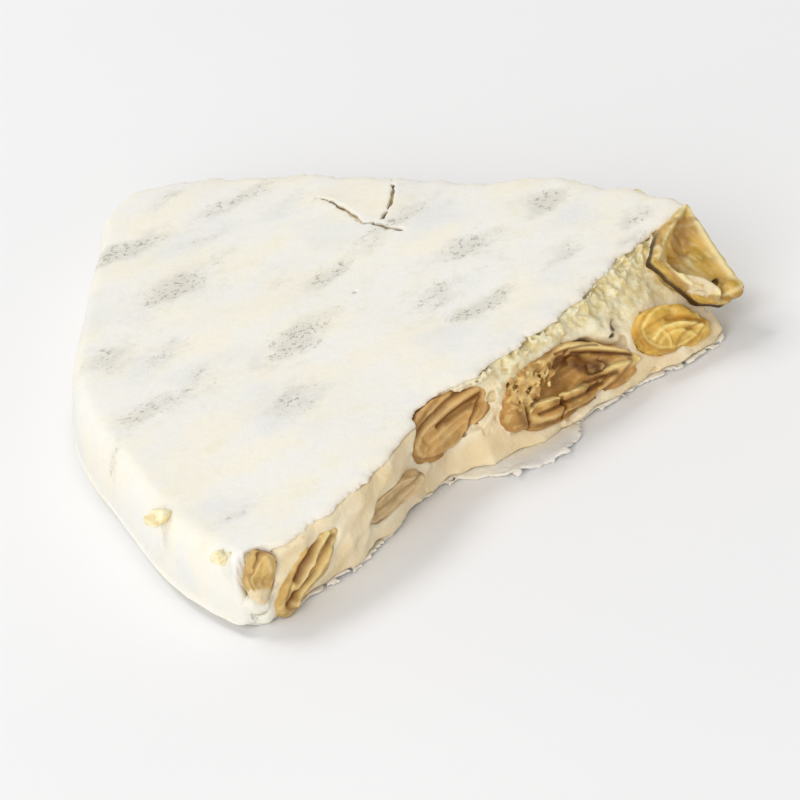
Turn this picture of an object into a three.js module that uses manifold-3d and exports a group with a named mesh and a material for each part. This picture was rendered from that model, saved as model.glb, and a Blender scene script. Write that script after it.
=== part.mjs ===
// Shard of hard almond nougat, broken from a round slab that has a thin wafer on both faces.
// The smooth side is a stretch of the slab's rim, and the other sides are rough breaks with
// almonds in them. Millimetres, +Z up. It lies on its lower wafer, and the origin is at the
// middle of its bounding box's bottom.

import * as THREE from 'three';
import { mergeVertices } from 'three/addons/utils/BufferGeometryUtils.js';
import Module from 'manifold-3d';

const wasm = await Module();
wasm.setup();

// The slab, in its own frame: its centre is the origin while the shard is being built.
const SLAB_RADIUS = 97.6;
const RIM_THICKNESS = 9;
const INNER_THICKNESS = 12.5;
const THICKENING_RUN = 70;      // how far in from the rim the slab goes on thickening
const RIM_BULGE = 1.2;          // how far the rim's top and bottom edges are drawn in
// The rim isn't quite round: its radius rises and falls by this much, over this many degrees.
const RIM_WAVE = { height: 0.6, pitch: 25, crestAngle: 181.5 };
// The upper face rises and dips by this much, in waves over x and y (radians per millimetre).
const SWELL = { height: 0.2, x: 0.24, start: 0.6, y: 0.21 };
const WAFER = 0.6;
const GAP = 0.3;                // clearance between neighbouring pieces

// The two breaks. Each is a straight line from the rim, with its foot (bottom edge) and its
// crest (top edge) standing out from that line by the distances in its stations.
const FRONT = {
  rimAngle: 212.4,
  rimInset: 2.3,
  heading: 35.7,
  length: 75,
  footLength: 66.5,
  // [along the line, foot out, crest out]
  stations: [
    [0, 0.3, -0.8],
    [7, 0.3, 1.3],
    [13, 0.8, 1.7],
    [19, -0.4, 1.0],
    [25, -2.2, -0.8],
    [31, -2.4, -4.2],
    [37, 0.5, -2.2],
    [44, 2.4, -1.6],
    [51, 2.9, -1.4],
    [57, 3.6, -2.4],
    [64, 5.4, -3.6],
    [75, 4.8, -3.0],
  ],
};
const BACK = {
  rimAngle: 151.2,
  rimInset: 2.9,
  heading: -37.6,
  length: 75,
  footLength: 74,
  stations: [
    [0, 0, 0],
    [14, 1.4, 0.9],
    [24, 0.9, 2.2],
    [36, 2.8, 1.9],
    [47, 3.4, 1.2],
    [58, 1.6, 2.6],
    [67, 1.2, 0.9],
    [75, 0.4, 0],
  ],
};
const CORNER_CUT = 10;          // the rounding where the back break meets the rim
const CORNER_CLEARANCE = 0.8;   // degrees of rim left out before the front break
const FOOT_TURN = 8;            // how late the foot's shortening sets in: a power

// The breaks' roughness, the shares of it that are left at their ends, and over what length it
// fades there. Its waves vary by these radians per millimetre.
const BREAK_ROUGHNESS = 0.55;
const LEAST_ROUGHNESS = 0.3;
const END_ROUGHNESS = 0.6;
const ROUGHNESS_FADE = 4;
const SLOW_WAVE = { x: 0.9, y: 0.7, risingWithX: 0.8, risingWithY: -0.5, share: 0.65 };
const QUICK_WAVE = { x: 0.4, y: 1.3, z: 1.1, share: 0.35 };

// A tongue of the lower wafer that is left standing out past the nougat.
const TONGUE = { along: 38.6, halfWidth: 7.4, out: 5.2 };
const FRONT_STRAY = 12;         // the front break's outline stays this near its line

// A crack in the upper wafer: two branches that meet, as points in the slab's frame.
const CRACK_WIDTH = 0.5;
const CRACK_TIP = 0.1;
const CRACK_BRANCHES = [
  [[-64.3, 27.2], [-61.7, 22.8], [-59.4, 17.0], [-58.9, 15.0], [-57.2, 13.4], [-54.3, 10.1]],
  [[-54.0, 25.1], [-54.1, 21.7], [-54.8, 17.9], [-56.4, 14.1], [-58.2, 14.3]],
];

// How many points each stretch of the outline has, and how the grid divides.
const RIM_STEPS = 20;
const CORNER_STEPS = 4;
const FRONT_STEPS = 36;
const END_STEPS = 3;
const BACK_STEPS = 28;
const WALL_ROWS = [0, 0.2, 0.4, 0.6, 0.8, 1];
const TOP_RINGS = [0.78, 0.56, 0.34, 0.14];

// Almonds in the front break, split where the nougat broke: the distance along it, the height,
// how far the split face stands proud of the nougat, the length, width (up the face) and depth,
// and the tilt in degrees. A cavity is the size of the split face's hollow, as a share.
const FRONT_ALMONDS = [
  { along: 1.0, height: 6.4, proud: 0.5, size: [5.0, 3.4, 4.0], tilt: 60 },
  { along: 6.8, height: 4.3, proud: 0.5, size: [10.6, 3.8, 5.0], tilt: 31 },
  { along: 21.0, height: 4.5, proud: 0.3, size: [9.6, 3.2, 5.0], tilt: 2 },
  { along: 32.4, height: 7.1, proud: 1.0, size: [13.2, 5.8, 7.0], tilt: 6 },
  { along: 48.1, height: 5.2, proud: 0.9, size: [19.2, 7.4, 9.0], tilt: 0, cavity: 0.55 },
  { along: 62.3, height: 3.9, proud: 1.4, size: [8.8, 5.4, 8.0], tilt: -14 },
  { along: 70.0, height: 7.4, proud: 3.4, size: [12.2, 8.6, 8.6], tilt: -64, cavity: 0.74 },
];

// Almonds in the back break: evenly spaced, with everything else varying from one to the next.
// A pitch is how far the variation goes on from an almond to the next, in radians.
const BACK_ALMONDS = {
  count: 5,
  start: 12,
  spacing: 12.6,
  size: [11.2, 6.2, 7],
  proud: 1.1,
  vary: { pitch: 2.4, start: 0.8, proud: 0.7, length: 0.14, width: -0.12 },
  height: { middle: 5.2, swing: 0.9, pitch: 1.9 },
  tilt: { swing: 22, pitch: 1.7 },
};

const ALMOND_SUNK = 0.12;       // how far behind its split face an almond's middle is, in depths
const ALMOND_SEGMENTS = 12;
const ALMOND_RINGS = 8;
const ALMOND_TAPER = 0.3;       // how much thinner the pointed end is than the blunt end

const SAME_POINT = 1e-4;        // points this close are merged

const finish = (color, roughness) => (
  new THREE.MeshStandardMaterial({ color, roughness, metalness: 0 })
);
const waferMaterial = finish(0xf1ede0, 0.85);
const nougatMaterial = finish(0xe6d6b0, 0.6);
const almondMaterial = finish(0xb07c40, 0.55);

const { degToRad, lerp, clamp } = THREE.MathUtils;

function polar(radius, degrees) {
  const angle = degToRad(degrees);
  return new THREE.Vector2(radius * Math.cos(angle), radius * Math.sin(angle));
}

// A broken surface's unevenness, between -1 and 1, at a point of the slab.
function ripple(x, y, z) {
  const slow = Math.sin(SLOW_WAVE.x * x + SLOW_WAVE.risingWithX * z)
    * Math.cos(SLOW_WAVE.y * y + SLOW_WAVE.risingWithY * z);
  const quick = Math.sin(QUICK_WAVE.y * y + QUICK_WAVE.z * z + QUICK_WAVE.x * x);
  return SLOW_WAVE.share * slow + QUICK_WAVE.share * quick;
}

// The upper face's height: the slab thickens inwards, and almonds under the wafer make it swell.
function topHeight(x, y) {
  const inset = SLAB_RADIUS - Math.hypot(x, y);
  const thickness = lerp(RIM_THICKNESS, INNER_THICKNESS, clamp(inset / THICKENING_RUN, 0, 1));
  const swell = SWELL.height * Math.sin(SWELL.x * x + SWELL.start) * Math.cos(SWELL.y * y);
  return thickness + swell;
}

// The values of a break's stations at a distance along it, smoothly between the stations.
function stationAt(brk, along) {
  const last = brk.stations.length - 2;
  const next = brk.stations.findIndex((station) => station[0] > along);
  const index = next < 0 ? last : clamp(next - 1, 0, last);
  const from = brk.stations[index];
  const to = brk.stations[index + 1];
  const t = THREE.MathUtils.smoothstep(along, from[0], to[0]);
  return { foot: lerp(from[1], to[1], t), crest: lerp(from[2], to[2], t) };
}

// Directions of a break: along it, and out of it. The front break's outside is on the right of
// its heading and the back break's on the left.
function breakAxes(brk) {
  const start = polar(SLAB_RADIUS - brk.rimInset, brk.rimAngle);
  const along = polar(1, brk.heading);
  const side = brk === FRONT ? -1 : 1;
  const out = new THREE.Vector2(-along.y * side, along.x * side);
  return { start, along, out };
}

function breakPoint(brk, along, out) {
  const axes = breakAxes(brk);
  return axes.start.clone().addScaledVector(axes.along, along).addScaledVector(axes.out, out);
}

function breakColumn(brk, along) {
  const outs = stationAt(brk, along);
  const shortened = clamp((along / brk.length) ** FOOT_TURN, 0, 1);
  const footAlong = Math.min(along, lerp(along, brk.footLength, shortened));
  const fromEnd = Math.min(along, brk.length - along);
  return {
    foot: breakPoint(brk, footAlong, outs.foot),
    crest: breakPoint(brk, along, outs.crest),
    rough: clamp(fromEnd / ROUGHNESS_FADE, LEAST_ROUGHNESS, 1),
  };
}

function rimColumn(degrees) {
  const wave = Math.cos(degToRad(360 * (degrees - RIM_WAVE.crestAngle)) / RIM_WAVE.pitch);
  const point = polar(SLAB_RADIUS + RIM_WAVE.height * wave, degrees);
  return { foot: point, crest: point.clone(), rough: 0 };
}

// A column part-way round a corner that is cut from one column to another.
function cornerColumn(from, to, apex, t) {
  const bend = (a, b, c) => new THREE.QuadraticBezierCurve(a, b, c).getPoint(t);
  return {
    foot: bend(from.foot, apex, to.foot),
    crest: bend(from.crest, apex, to.crest),
    rough: lerp(from.rough, to.rough, t),
  };
}

// The outline, anticlockwise from above: the rim, the front break, the end at the slab's
// middle, the back break, and the rounded corner that leads back to the rim.
function outlineColumns() {
  const columns = [];
  const rimFrom = BACK.rimAngle + THREE.MathUtils.radToDeg(CORNER_CUT / SLAB_RADIUS);
  const rimTo = FRONT.rimAngle - CORNER_CLEARANCE;
  for (let i = 0; i < RIM_STEPS; i += 1) {
    columns.push(rimColumn(lerp(rimFrom, rimTo, i / (RIM_STEPS - 1))));
  }
  for (let i = 0; i <= FRONT_STEPS; i += 1) {
    columns.push(breakColumn(FRONT, (FRONT.length * i) / FRONT_STEPS));
  }
  const frontEnd = columns[columns.length - 1];
  const backEnd = breakColumn(BACK, BACK.length);
  for (let i = 1; i <= END_STEPS; i += 1) {
    const t = i / (END_STEPS + 1);
    columns.push({
      foot: frontEnd.foot.clone().lerp(backEnd.foot, t),
      crest: frontEnd.crest.clone().lerp(backEnd.crest, t),
      rough: END_ROUGHNESS,
    });
  }
  for (let i = 0; i <= BACK_STEPS; i += 1) {
    columns.push(breakColumn(BACK, lerp(BACK.length, CORNER_CUT, i / BACK_STEPS)));
  }
  const backStart = columns[columns.length - 1];
  const corner = polar(SLAB_RADIUS, BACK.rimAngle);
  for (let i = 1; i <= CORNER_STEPS; i += 1) {
    columns.push(cornerColumn(backStart, columns[0], corner, i / (CORNER_STEPS + 1)));
  }
  return columns;
}

const columns = outlineColumns();
const middle = columns.reduce((sum, column) => sum.add(column.foot), new THREE.Vector2())
  .divideScalar(columns.length);

function outwardAt(points, index) {
  const before = points[(index + points.length - 1) % points.length];
  const after = points[(index + 1) % points.length];
  return new THREE.Vector2(after.y - before.y, before.x - after.x).normalize();
}

// The outline at a height fraction: 0 at the foot and 1 at the crest.
function outlineAt(fraction) {
  const points = columns.map((column) => column.foot.clone().lerp(column.crest, fraction));
  return points.map((point, index) => {
    const column = columns[index];
    const wave = ripple(point.x, point.y, fraction * INNER_THICKNESS);
    const bump = wave * BREAK_ROUGHNESS * column.rough;
    const drawnIn = (1 - column.rough) * RIM_BULGE * (2 * fraction - 1) ** 2;
    return point.clone().addScaledVector(outwardAt(points, index), bump - drawnIn);
  });
}

function ringAt(points, scale, heightAt) {
  return points.map((point) => {
    const spot = middle.clone().lerp(point, scale);
    return new THREE.Vector3(spot.x, spot.y, heightAt(spot.x, spot.y));
  });
}

// One closed skin through rings of points that go from a lower pole out and up to an upper pole.
function closedSkin(lowerPole, rings, upperPole) {
  const count = rings[0].length;
  const points = [lowerPole, ...rings.flat(), upperPole];
  const at = (ring, step) => 1 + ring * count + (step % count);
  const top = points.length - 1;
  const index = [];
  for (let j = 0; j < count; j += 1) {
    index.push(0, at(0, j + 1), at(0, j));
    for (let k = 0; k < rings.length - 1; k += 1) {
      index.push(at(k, j), at(k, j + 1), at(k + 1, j + 1));
      index.push(at(k, j), at(k + 1, j + 1), at(k + 1, j));
    }
    index.push(top, at(rings.length - 1, j), at(rings.length - 1, j + 1));
  }
  const geometry = new THREE.BufferGeometry().setFromPoints(points);
  geometry.setIndex(index);
  return geometry;
}

function toManifold(geometry) {
  const bare = geometry.clone();
  bare.deleteAttribute('normal');
  bare.deleteAttribute('uv');
  const merged = mergeVertices(bare, SAME_POINT);
  const vertProperties = new Float32Array(merged.attributes.position.array);
  const triVerts = new Uint32Array(merged.index.array);
  return new wasm.Manifold(new wasm.Mesh({ numProp: 3, vertProperties, triVerts }));
}

// The largest body of a solid, so that a sliver cut loose by a pocket is dropped.
function toGeometry(solid) {
  const bodies = solid.decompose().sort((a, b) => b.volume() - a.volume());
  const mesh = bodies[0].getMesh();
  const geometry = new THREE.BufferGeometry();
  const positions = new Float32Array(mesh.vertProperties);
  geometry.setAttribute('position', new THREE.BufferAttribute(positions, 3));
  geometry.setIndex(new THREE.BufferAttribute(new Uint32Array(mesh.triVerts), 1));
  geometry.computeVertexNormals();
  return geometry;
}

function namedMesh(name, solid, material) {
  const mesh = new THREE.Mesh(toGeometry(solid), material.clone());
  mesh.name = name;
  return mesh;
}

// An almond: an ellipsoid with one end drawn out to a blunt point, its length along X.
function almondShape([length, width, depth], grow = 0) {
  const geometry = new THREE.SphereGeometry(1, ALMOND_SEGMENTS, ALMOND_RINGS);
  geometry.rotateZ(Math.PI / 2);
  const position = geometry.attributes.position;
  for (let i = 0; i < position.count; i += 1) {
    const x = position.getX(i);
    const taper = 1 - ALMOND_TAPER * x;
    position.setXYZ(
      i,
      x * (length / 2 + grow),
      position.getY(i) * taper * (depth / 2 + grow),
      position.getZ(i) * taper * (width / 2 + grow),
    );
  }
  return geometry;
}

// Puts a shape made about the origin into a break: X runs along it, Y into it and Z up its face.
function placeInBreak(geometry, brk, almond) {
  const outs = stationAt(brk, almond.along);
  const base = breakPoint(brk, almond.along, 0);
  const rise = topHeight(base.x, base.y);
  const faceOut = lerp(outs.foot, outs.crest, almond.height / rise);
  const spot = breakPoint(brk, almond.along, faceOut);
  geometry.rotateX(-Math.atan2(outs.foot - outs.crest, rise));
  geometry.rotateZ(degToRad(brk.heading) + (brk === BACK ? Math.PI : 0));
  geometry.translate(spot.x, spot.y, almond.height);
  return toManifold(geometry);
}

// An almond's solid and the pocket that it sits in. The solid ends at its split face, and a broken
// almond has a hollow in that face.
function almondInBreak(brk, almond) {
  const [length, width, depth] = almond.size;
  const splitFace = -almond.proud;
  const middleDepth = splitFace + ALMOND_SUNK * depth;
  const placed = (geometry, inward) => (
    placeInBreak(geometry.rotateY(degToRad(-almond.tilt)).translate(0, inward, 0), brk, almond)
  );
  const block = new THREE.BoxGeometry(2 * length, 2 * depth, 2 * length);
  const pocket = placed(almondShape(almond.size, GAP), middleDepth);
  let solid = placed(almondShape(almond.size), middleDepth)
    .intersect(placed(block, splitFace + depth));
  if (almond.cavity) {
    const hollow = [length, width, depth].map((side) => side * almond.cavity);
    solid = solid.subtract(placed(almondShape(hollow), splitFace));
  }
  return { solid, pocket };
}

function backAlmond(index) {
  const { start, spacing, size, proud, vary, height, tilt } = BACK_ALMONDS;
  const [length, width, depth] = size;
  const change = Math.sin(vary.pitch * index + vary.start);
  return {
    along: start + spacing * index,
    height: height.middle + height.swing * Math.cos(height.pitch * index),
    proud: proud * (1 + vary.proud * change),
    size: [length * (1 + vary.length * change), width * (1 + vary.width * change), depth],
    tilt: tilt.swing * Math.sin(tilt.pitch * index),
  };
}

function lowerWaferOutline() {
  const axes = breakAxes(FRONT);
  return outlineAt(0).map((point) => {
    const away = point.clone().sub(axes.start);
    const near = Math.abs(away.dot(axes.out)) < FRONT_STRAY;
    const fromMiddle = Math.abs(away.dot(axes.along) - TONGUE.along);
    const reach = clamp(1 - fromMiddle / TONGUE.halfWidth, 0, 1);
    const out = near ? TONGUE.out * Math.sin((reach * Math.PI) / 2) : 0;
    return point.clone().addScaledVector(axes.out, out);
  });
}

function lowerWaferSolid() {
  const outline = lowerWaferOutline();
  const rings = [ringAt(outline, 1, () => 0), ringAt(outline, 1, () => WAFER)];
  const pole = (height) => new THREE.Vector3(middle.x, middle.y, height);
  return toManifold(closedSkin(pole(0), rings, pole(WAFER)));
}

function upperWaferSolid() {
  const outline = outlineAt(1);
  const under = (x, y) => topHeight(x, y) - WAFER;
  const scales = [...TOP_RINGS].reverse().concat(1);
  const lower = scales.map((scale) => ringAt(outline, scale, under));
  const upper = [...scales].reverse().map((scale) => ringAt(outline, scale, topHeight));
  const pole = (heightAt) => new THREE.Vector3(middle.x, middle.y, heightAt(middle.x, middle.y));
  return toManifold(closedSkin(pole(under), [...lower, ...upper], pole(topHeight)));
}

function nougatSolid() {
  const floor = WAFER + GAP;
  const roof = (x, y) => topHeight(x, y) - WAFER - GAP;
  const wall = WALL_ROWS.map((fraction) => (
    ringAt(outlineAt(fraction), 1, (x, y) => lerp(floor, roof(x, y), fraction))
  ));
  const top = TOP_RINGS.map((scale) => ringAt(outlineAt(1), scale, roof));
  const lowerPole = new THREE.Vector3(middle.x, middle.y, floor);
  const upperPole = new THREE.Vector3(middle.x, middle.y, roof(middle.x, middle.y));
  return toManifold(closedSkin(lowerPole, [...wall, ...top], upperPole));
}

// One branch of the crack: a narrow ribbon through the wafer that tapers at its free end.
function crackBranch(points) {
  const path = points.map(([x, y]) => new THREE.Vector2(x, y));
  const half = (index) => (index === 0 ? CRACK_TIP : CRACK_WIDTH) / 2;
  const normal = (index) => {
    const from = path[Math.max(index - 1, 0)];
    const to = path[Math.min(index + 1, path.length - 1)];
    return new THREE.Vector2(from.y - to.y, to.x - from.x).normalize();
  };
  const beside = (side) => path.map((point, index) => (
    point.clone().addScaledVector(normal(index), side * half(index))
  ));
  const left = beside(1);
  const right = beside(-1);
  const shape = new THREE.Shape([...left, ...right.reverse()]);
  const depth = 2 * INNER_THICKNESS;
  return toManifold(new THREE.ExtrudeGeometry(shape, { depth, bevelEnabled: false }));
}

const frontAlmonds = FRONT_ALMONDS.map((almond) => almondInBreak(FRONT, almond));
const backAlmonds = Array.from({ length: BACK_ALMONDS.count }, (_, index) => (
  almondInBreak(BACK, backAlmond(index))
));
const pockets = [...frontAlmonds, ...backAlmonds].map((almond) => almond.pocket);
const cutBy = (solid, cutters) => cutters.reduce((rest, cutter) => rest.subtract(cutter), solid);
const crack = CRACK_BRANCHES.map(crackBranch);

const shard = new THREE.Group();
shard.add(namedMesh('wafer_bottom', cutBy(lowerWaferSolid(), pockets), waferMaterial));
shard.add(namedMesh('nougat', cutBy(nougatSolid(), pockets), nougatMaterial));
shard.add(namedMesh('wafer_top', cutBy(upperWaferSolid(), [...pockets, ...crack]), waferMaterial));
frontAlmonds.forEach((almond, index) => {
  shard.add(namedMesh(`almond_front_${index + 1}`, almond.solid, almondMaterial));
});
backAlmonds.forEach((almond, index) => {
  shard.add(namedMesh(`almond_back_${index + 1}`, almond.solid, almondMaterial));
});

// Move the shard from the slab's frame to its own.
const box = new THREE.Box3().setFromObject(shard, true);
shard.position.set(-(box.min.x + box.max.x) / 2, -(box.min.y + box.max.y) / 2, 0);

export default shard;
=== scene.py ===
"""A shard of hard almond nougat: thin wafers above and below, a smooth rim, and rough breaks.

Each piece is made from its CAD solid as a signed distance field (negative inside), which is
roughened, carved and meshed again. Lengths are millimetres until a mesh is made. A layer of noise
is written as its amount, the size of its features and its seed.
"""

import math
from collections import namedtuple

import bpy
import numpy as np
import openvdb
from mathutils import Matrix, Vector
from mathutils.bvhtree import BVHTree
from numpy import float32, int32
from numpy.linalg import norm


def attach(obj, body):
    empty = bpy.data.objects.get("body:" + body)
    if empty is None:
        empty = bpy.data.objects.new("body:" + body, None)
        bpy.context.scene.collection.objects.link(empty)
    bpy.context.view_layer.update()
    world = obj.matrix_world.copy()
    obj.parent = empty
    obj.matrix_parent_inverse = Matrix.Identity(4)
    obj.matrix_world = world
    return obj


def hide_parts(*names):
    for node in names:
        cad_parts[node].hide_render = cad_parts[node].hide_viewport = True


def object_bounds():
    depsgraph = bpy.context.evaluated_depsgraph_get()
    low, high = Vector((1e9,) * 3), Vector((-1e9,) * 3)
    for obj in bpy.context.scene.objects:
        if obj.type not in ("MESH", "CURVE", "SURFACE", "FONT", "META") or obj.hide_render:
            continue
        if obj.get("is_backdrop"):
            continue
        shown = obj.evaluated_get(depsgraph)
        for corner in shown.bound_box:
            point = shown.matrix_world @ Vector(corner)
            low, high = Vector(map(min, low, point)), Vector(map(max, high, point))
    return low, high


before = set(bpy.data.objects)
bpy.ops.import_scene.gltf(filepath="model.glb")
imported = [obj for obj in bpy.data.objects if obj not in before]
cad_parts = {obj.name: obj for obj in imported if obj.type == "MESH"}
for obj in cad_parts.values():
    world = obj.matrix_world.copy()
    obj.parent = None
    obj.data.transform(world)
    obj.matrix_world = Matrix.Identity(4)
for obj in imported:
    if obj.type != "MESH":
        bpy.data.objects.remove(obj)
cad_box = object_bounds()

MM = 0.001
BODY = "root"

# The round slab that the shard broke from, in the part's frame.
SLAB_CENTRE = np.array([57.97, 3.95])
SLAB_RADIUS = 97.6

WAFER = 0.6
GAP = 0.3  # the clearance that the CAD solids keep, and that the pieces here close
FAR = 9.0  # a distance that is past all that it's compared with


# ---- Noise

SLOPES = 4096
GRADIENTS = np.random.default_rng(2024).uniform(-1, 1, (3, SLOPES)).astype(float32)
HASH = [int32(73856093), int32(19349663), int32(83492791)]
GAIN = 1.7  # brings the noise to about -1 to 1
CHUNK = 1 << 16  # how many points are worked on at a time
ROWS = 20000  # and how many where each is held against a whole outline


def noise(points, size, seed):
    """Smooth gradient noise, about -1 to 1, with features of this size."""
    points = np.asarray(points, float32)
    out = np.empty(len(points), float32)
    for k in range(0, len(points), CHUNK):
        out[k : k + CHUNK] = noise_chunk(points[k : k + CHUNK].T / float32(size), seed)
    return out


def noise_chunk(p, seed):
    cell = np.floor(p)
    f = p - cell
    cell = cell.astype(int32)
    rise = f * f * f * (f * (f * 6 - 15) + 10)
    share = (1 - rise, rise)
    keys = [[(cell[axis] + int32(c)) * HASH[axis] for c in (0, 1)] for axis in range(3)]
    total = np.zeros(p.shape[1], float32)
    for i, j, k in np.ndindex(2, 2, 2):
        key = keys[0][i] ^ keys[1][j] ^ keys[2][k] ^ int32(seed * 668265263 % 2147483647)
        key = (key ^ (key >> 13)) * int32(1540483477)
        index = (key >> 15) & (SLOPES - 1)
        slope = sum(GRADIENTS[axis][index] * (f[axis] - c) for axis, c in enumerate((i, j, k)))
        total += share[i][0] * share[j][1] * share[k][2] * slope
    return GAIN * total


def layered(points, *layers):
    """The sum of some layers of noise."""
    return sum(amount * noise(points, size, seed) for amount, size, seed in layers)


def flat3(xy):
    """Points in the plane as points in space, for noise."""
    return np.column_stack([xy, np.zeros(len(xy), float32)]).astype(float32)


def ramp(x, low, high):
    """0 below low, 1 above high, smooth between."""
    t = np.clip((x - low) / (high - low), 0, 1)
    return t * t * (3 - 2 * t)


# ---- Reading the frame


def cad_mesh(node):
    """The points of a CAD node, in millimetres, with duplicates merged, and its triangles."""
    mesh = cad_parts[node].data
    mesh.calc_loop_triangles()
    points = np.empty(len(mesh.vertices) * 3, float32)
    mesh.vertices.foreach_get("co", points)
    faces = np.empty(len(mesh.loop_triangles) * 3, int32)
    mesh.loop_triangles.foreach_get("vertices", faces)
    points = points.reshape(-1, 3) / MM
    unique, inverse = np.unique(points.round(4), axis=0, return_inverse=True)
    faces = inverse.reshape(-1)[faces.reshape(-1, 3)]
    whole = (faces != np.roll(faces, 1, axis=1)).all(1)
    return unique.astype(float32), faces[whole]


def face_normals(points, faces):
    """Each triangle's normal, with twice its area as its length."""
    a, b, c = (points[faces[:, k]] for k in range(3))
    return np.cross(b - a, c - a)


def extent(loop):
    return np.ptp(loop[:, 0]) + np.ptp(loop[:, 1])


def outlines(node, side):
    """The closed outlines, largest first, of a node's faces that look up (1) or down (-1)."""
    points, faces = cad_mesh(node)
    normals = face_normals(points, faces)
    lengths = norm(normals, axis=1) + 1e-9
    faces = faces[side * normals[:, 2] / lengths > 0.6]
    edges = {edge: True for a, b, c in faces.tolist() for edge in ((a, b), (b, c), (c, a))}
    after = {a: b for a, b in edges if (b, a) not in edges}
    loops = []
    while after:
        start, at = next(iter(after.items()))
        del after[start]
        loop = [start]
        while at != start and at in after:
            loop.append(at)
            at = after.pop(at)
        loops.append(points[loop])
    return sorted(loops, key=extent, reverse=True)


def distance_to_lines(xy, a, b):
    """The distance of points in the plane to the nearest of the lines from a to b."""
    ab = b - a
    length2 = np.maximum((ab**2).sum(1), 1e-9)
    out = np.empty(len(xy), float32)
    for k in range(0, len(xy), ROWS):
        p = xy[k : k + ROWS, None, :]
        t = np.clip(((p - a) * ab).sum(2) / length2, 0, 1)
        out[k : k + ROWS] = np.sqrt((((p - a) - t[..., None] * ab) ** 2).sum(2)).min(1)
    return out


def distance_to_outline(xy, loop):
    """The signed distance of points in the plane to a closed outline, negative inside."""
    a = loop[:, :2].astype(float32)
    b = np.roll(a, -1, 0)
    ab = b - a
    rise = np.where(np.abs(ab[:, 1]) < 1e-9, 1e-9, ab[:, 1])
    out = distance_to_lines(xy, a, b)
    for k in range(0, len(xy), ROWS):
        p = xy[k : k + ROWS, None, :]
        crosses = (a[:, 1] > p[..., 1]) != (b[:, 1] > p[..., 1])
        at = a[:, 0] + (p[..., 1] - a[:, 1]) * ab[:, 0] / rise
        inside = (crosses & (p[..., 0] < at)).sum(1) % 2 == 1
        out[k : k + ROWS] *= np.where(inside, -1, 1)
    return out


# ---- Distance fields


class Field:
    """A signed distance field on a box-shaped grid."""

    def __init__(self, low, high, step):
        self.step = np.broadcast_to(np.asarray(step, float32), (3,))
        self.low = np.asarray(low, float32)
        shape = np.ceil((np.asarray(high) - self.low) / self.step).astype(int) + 1
        self.phi = np.ones(shape, float32)

    @classmethod
    def of_node(cls, node, step, band, margin=2.0):
        """A CAD node's field, true to within band of its surface."""
        points, faces = cad_mesh(node)
        field = cls(points.min(0) - margin, points.max(0) + margin, step)
        grid = openvdb.FloatGrid.createLevelSetFromPolygons(
            ((points - field.low) / step).astype(float32),
            triangles=faces.astype(np.uint32),
            halfWidth=band / step,
        )
        grid.copyToArray(field.phi)
        field.phi *= step
        return field

    def where(self, mask):
        """The places of the grid points in a mask."""
        return (np.argwhere(mask) * self.step + self.low).astype(float32)

    def window(self, centre, reach):
        """The part of the grid around a place, and its points' offsets from that place."""
        low = np.maximum(np.floor((centre - reach - self.low) / self.step).astype(int), 0)
        high = np.ceil((centre + reach - self.low) / self.step).astype(int) + 1
        high = np.clip(high, low, self.phi.shape)
        part = tuple(slice(a, b) for a, b in zip(low, high))
        axes = [
            np.arange(low[k], high[k]) * self.step[k] + self.low[k] - centre[k] for k in range(3)
        ]
        return part, np.stack(np.meshgrid(*axes, indexing="ij"), -1).astype(float32)

    def add(self, centre, radii, axes=None, soft=0.0, rough=None, sign=1):
        """Adds an ellipsoid, joined softly, with a layer of noise on its surface."""
        radii = np.asarray(radii, float32)
        part, d = self.window(centre, radii.max() + 1.5 * soft + 2 * self.step)
        if axes is not None:
            d = d @ np.asarray(axes, float32).T
        size = np.sqrt(((d / radii) ** 2).sum(-1))
        blob = (size - 1) * radii.min()
        if rough is not None:
            blob = blob + layered(d.reshape(-1, 3), rough).reshape(blob.shape)
        self.phi[part] = sign * soft_min(sign * self.phi[part], blob, soft)

    def carve(self, *ellipsoid):
        """Cuts an ellipsoid out."""
        self.add(*ellipsoid, sign=-1)

    def polygons(self, adaptivity):
        """The field's surface: its points, and its triangles and quads."""
        grid = openvdb.FloatGrid(float(self.phi.max()))
        grid.copyFromArray(self.phi)
        points, triangles, quads = grid.convertToPolygons(0.0, adaptivity)
        return points * self.step + self.low, (triangles[:, ::-1], quads[:, ::-1])


def soft_min(a, b, soft):
    """The smaller of two distances, rounded where they are close."""
    if soft <= 0:
        return np.minimum(a, b)
    h = np.maximum(soft - np.abs(a - b), 0) / soft
    return np.minimum(a, b) - h * h * soft / 4


def soft_max(a, b, soft):
    return -soft_min(-a, -b, soft)


def blurred(values, passes, width=1):
    """Values on a grid, averaged with their neighbours along each axis."""
    span = 2 * width + 1
    for _ in range(passes):
        for axis in range(values.ndim):
            n = values.shape[axis]
            pads = np.zeros((values.ndim, 2), int)
            pads[axis] = width
            total = np.cumsum(np.pad(values, pads, "edge"), axis=axis, dtype=np.float64)
            total = np.insert(total, 0, 0, axis=axis)
            upper = np.take(total, np.arange(span, span + n), axis)
            lower = np.take(total, np.arange(n), axis)
            values = ((upper - lower) / span).astype(float32)
    return values


# ---- Meshes


def add_object(name, data):
    thing = bpy.data.objects.new(name, data)
    bpy.context.scene.collection.objects.link(thing)
    return thing


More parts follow.
